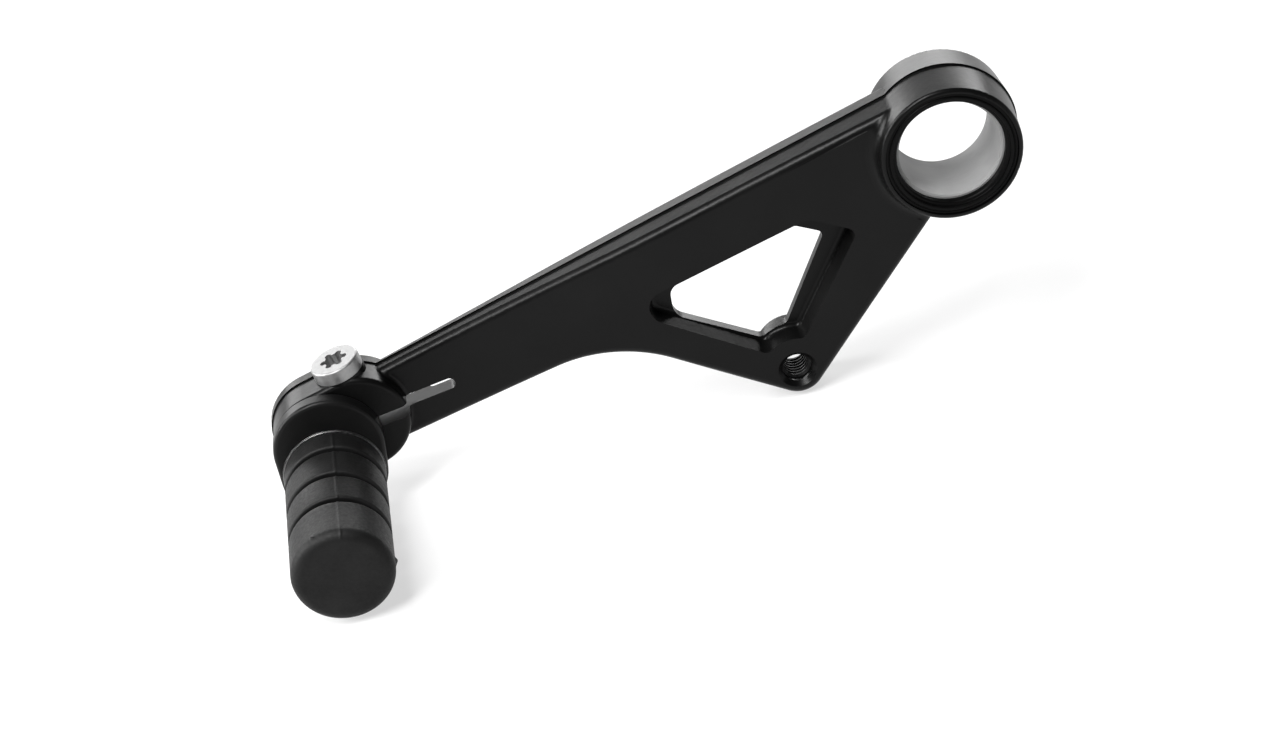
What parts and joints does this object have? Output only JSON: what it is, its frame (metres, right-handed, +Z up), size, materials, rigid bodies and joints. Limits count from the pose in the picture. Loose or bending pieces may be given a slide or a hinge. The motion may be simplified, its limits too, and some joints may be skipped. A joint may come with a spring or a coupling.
{
  "type": "gear shift lever",
  "caption": "Cast motorcycle gear shift lever: arm with a triangular window, bushed pivot hub, tapped rod hole, and a rubber toe peg on an eccentric carrier held in a split clamp.",
  "frame": {"origin": "centre of the pivot bush, on the axis of the shaft that the lever swings on", "axes": "Y is the pivot's axis, with the toe peg on the -Y (outboard) side; +X runs from the toe towards the pivot; +Z is up from the surface that the lever stands on, on its toe peg and its lower corner"},
  "size_m": [0.1566, 0.0559, 0.0622],
  "materials": {
    "coated_casting": "satin black powder coat over die-cast aluminium",
    "bush_metal": "dull grey bush lining",
    "seal_rubber": "black sealing rubber",
    "carrier_coating": "black anodised aluminium",
    "toe_grip": "matt moulded rubber",
    "screw_steel": "zinc-flake coated steel"
  },
  "bodies": {
    "lever": {"lever_body": "coated_casting", "pivot_bush": "bush_metal", "outboard_seal": "seal_rubber", "inboard_seal": "seal_rubber"},
    "toe": {"toe_carrier": "carrier_coating", "toe_rubber": "toe_grip"},
    "screw": {"pinch_screw": "screw_steel"}
  },
  "joints": [
    {"name": "toe_swivel", "type": "hinge", "parent": "lever", "child": "toe", "pos_m": [-0.13089, 0, -0.03094], "axis": [0, -1, 0], "continuous": true},
    {"name": "screw_turn", "type": "hinge", "parent": "lever", "child": "screw", "pos_m": [-0.12359, -0.0019, -0.02973], "axis": [-0.1633, 0, 0.9866], "continuous": true}
  ]
}
